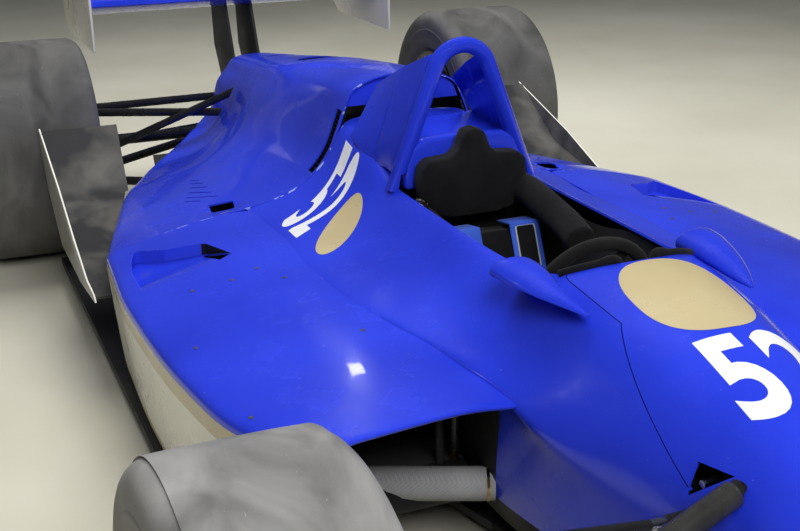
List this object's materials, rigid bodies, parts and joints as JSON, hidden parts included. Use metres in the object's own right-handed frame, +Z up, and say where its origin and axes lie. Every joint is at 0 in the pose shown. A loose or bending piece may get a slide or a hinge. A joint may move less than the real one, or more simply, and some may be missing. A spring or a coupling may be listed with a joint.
{
  "type": "open wheel racing car",
  "caption": "Single-seat open wheel racing car with side pods, roll hoop, slick tyres, front and rear wings; wheels roll and the front pair steers with rack and steering wheel.",
  "frame": {"origin": "on the ground, in the middle of the car's length and width", "axes": "+X forwards, +Y to the driver's left, +Z up"},
  "size_m": [4.58, 1.984, 0.914],
  "materials": {
    "blue_body": "gloss royal blue paint on composite",
    "white_body": "gloss white paint",
    "carbon": "worn dark composite",
    "black_metal": "satin black",
    "casting": "cast, dull",
    "radiator": "matt finned core",
    "rim": "painted cast magnesium",
    "tyre": "worn slick rubber",
    "padding": "black knitted cover over foam",
    "seat": "black seat cover",
    "webbing": "blue webbing",
    "grip": "black suede"
  },
  "bodies": {
    "chassis": {"tub": "blue_body", "scuttle": "blue_body", "nose_cone": "blue_body", "sidepod_left": "blue_body", "sidepod_right": "blue_body", "engine_cover": "blue_body", "hoop_fairing": "blue_body", "mirror_left": "blue_body", "mirror_right": "blue_body", "roll_hoop": "blue_body", "front_wing_left": "blue_body", "front_wing_right": "blue_body", "rear_wing_main": "blue_body", "rear_wing_flap": "blue_body", "rear_endplate_left": "white_body", "rear_endplate_right": "white_body", "underbody": "carbon", "tyre_ramp_left": "carbon", "tyre_ramp_right": "carbon", "wing_posts": "black_metal", "front_suspension_left": "black_metal", "front_suspension_right": "black_metal", "rear_suspension_left": "black_metal", "rear_suspension_right": "black_metal", "rear_upright_left": "casting", "rear_upright_right": "casting", "engine": "casting", "gearbox": "casting", "radiators": "radiator", "headrest": "padding", "cockpit_pads": "padding", "seat": "seat", "harness": "webbing"},
    "front_hub_left": {"front_upright_left": "casting"},
    "front_hub_right": {"front_upright_right": "casting"},
    "front_wheel_left": {"front_wheel_left": "rim", "front_tyre_left": "tyre"},
    "front_wheel_right": {"front_wheel_right": "rim", "front_tyre_right": "tyre"},
    "rear_wheel_left": {"rear_wheel_left": "rim", "rear_tyre_left": "tyre"},
    "rear_wheel_right": {"rear_wheel_right": "rim", "rear_tyre_right": "tyre"},
    "steering_wheel": {"steering_wheel": "grip"},
    "steering_rack": {"steering_rack": "black_metal"}
  },
  "joints": [
    {"name": "front_steer_left", "type": "hinge", "parent": "chassis", "child": "front_hub_left", "pos_m": [1.36, 0.775, 0.324], "axis": [0, 0, 1], "range_deg": [-15, 15]},
    {"name": "front_steer_right", "type": "hinge", "parent": "chassis", "child": "front_hub_right", "pos_m": [1.36, -0.775, 0.324], "axis": [0, 0, 1], "range_deg": [-15, 15]},
    {"name": "steering_wheel_turn", "type": "hinge", "parent": "chassis", "child": "steering_wheel", "pos_m": [0.655, 0, 0.462], "axis": [-0.963, 0, 0.2696], "range_deg": [-150, 150]},
    {"name": "steering_rack_slide", "type": "slide", "parent": "chassis", "child": "steering_rack", "axis": [0, 1, 0], "range_m": [-0.029, 0.029]},
    {"name": "front_wheel_left_spin", "type": "hinge", "parent": "front_hub_left", "child": "front_wheel_left", "pos_m": [1.36, 0.859, 0.324], "axis": [0, 1, 0], "continuous": true},
    {"name": "rear_wheel_left_spin", "type": "hinge", "parent": "chassis", "child": "rear_wheel_left", "pos_m": [-1.485, 0.79, 0.343], "axis": [0, 1, 0], "continuous": true},
    {"name": "front_wheel_right_spin", "type": "hinge", "parent": "front_hub_right", "child": "front_wheel_right", "pos_m": [1.36, -0.859, 0.324], "axis": [0, 1, 0], "continuous": true},
    {"name": "rear_wheel_right_spin", "type": "hinge", "parent": "chassis", "child": "rear_wheel_right", "pos_m": [-1.485, -0.79, 0.343], "axis": [0, 1, 0], "continuous": true}
  ],
  "couplings": [
    {"joint": "front_steer_right", "follows": "front_steer_left", "ratio": 1},
    {"joint": "steering_wheel_turn", "follows": "front_steer_left", "ratio": 10},
    {"joint": "steering_rack_slide", "follows": "front_steer_left", "m_per_rad": -0.11}
  ]
}
